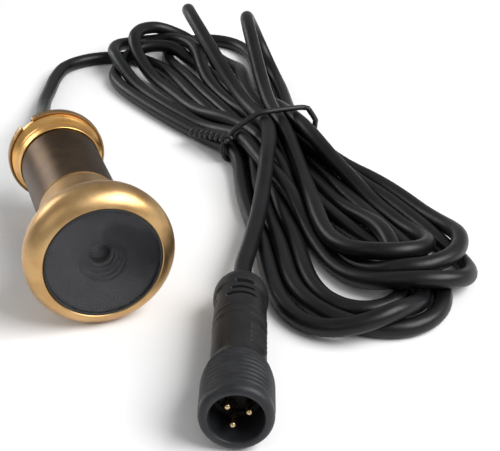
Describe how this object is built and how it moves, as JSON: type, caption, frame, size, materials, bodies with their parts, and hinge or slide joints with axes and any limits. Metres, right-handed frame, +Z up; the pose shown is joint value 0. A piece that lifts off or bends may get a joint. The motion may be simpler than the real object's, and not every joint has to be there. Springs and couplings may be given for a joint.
{
  "type": "door viewer",
  "caption": "Brass door viewer camera with a domed head, smoked window, screwed rear sleeve, and a black cord tied in a hank with a threaded pin connector.",
  "frame": {"origin": "on the barrel's axis, in the plane of the head's back face, which meets the door", "axes": "+Y along the barrel from the head to the rear sleeve, so the window faces -Y; +Z up as the object lies"},
  "size_m": [0.0886, 0.184, 0.0272],
  "materials": {
    "satin_brass": "satin brushed",
    "sleeve_brass": "satin turned",
    "window": "smoked, gloss",
    "seal_rubber": "matt",
    "lens_black": "matt moulded",
    "optical_glass": "coated, polished",
    "filter_glass": "coated, polished",
    "sensor_silicon": "gloss",
    "circuit_board": "solder resist",
    "chip_black": "matt",
    "capacitor": "matt",
    "cream_plastic": "satin",
    "wire_cores": "satin",
    "steel": "plated",
    "end_black": "matt moulded",
    "cord_pvc": "satin",
    "tie_pvc": "satin",
    "connector_black": "fine satin",
    "pin_gold": "plated"
  },
  "bodies": {
    "housing": {"front_housing": "satin_brass", "window_gasket": "seal_rubber", "front_window": "window", "lens_shroud": "lens_black", "lens_holder": "lens_black", "image_sensor": "sensor_silicon", "sensor_board": "circuit_board", "holder_screws": "steel", "video_chip": "chip_black", "board_capacitors": "capacitor", "board_socket": "cream_plastic", "harness_plug": "cream_plastic", "wire_harness": "wire_cores", "rear_plug": "end_black", "cord_stop": "steel", "cable_gland": "seal_rubber", "cord_lead": "cord_pvc", "cord_hank": "cord_pvc", "cord_tail": "cord_pvc", "wire_tie": "tie_pvc", "plug_overmould": "connector_black", "plug_shell": "connector_black", "plug_seal": "seal_rubber", "plug_insert": "end_black", "plug_pins": "pin_gold"},
    "lens": {"lens_barrel": "lens_black", "front_lens": "optical_glass", "rear_lens": "optical_glass", "ir_filter": "filter_glass"},
    "seat": {"seat_ring": "satin_brass"},
    "sleeve": {"rear_sleeve": "sleeve_brass"}
  },
  "joints": [
    {"name": "sleeve_travel", "type": "slide", "parent": "housing", "child": "seat", "axis": [0, 1, 0], "range_m": [0, 0.012]},
    {"name": "sleeve_turn", "type": "hinge", "parent": "seat", "child": "sleeve", "pos_m": [0, 0.025, 0], "axis": [0, 1, 0], "range_deg": [0, 4320]},
    {"name": "lens_focus", "type": "hinge", "parent": "housing", "child": "lens", "pos_m": [0, 0, 0], "axis": [0, 1, 0], "range_deg": [-90, 90]}
  ],
  "couplings": [
    {"joint": "sleeve_travel", "follows": "sleeve_turn", "m_per_rad": 0.00015915}
  ]
}
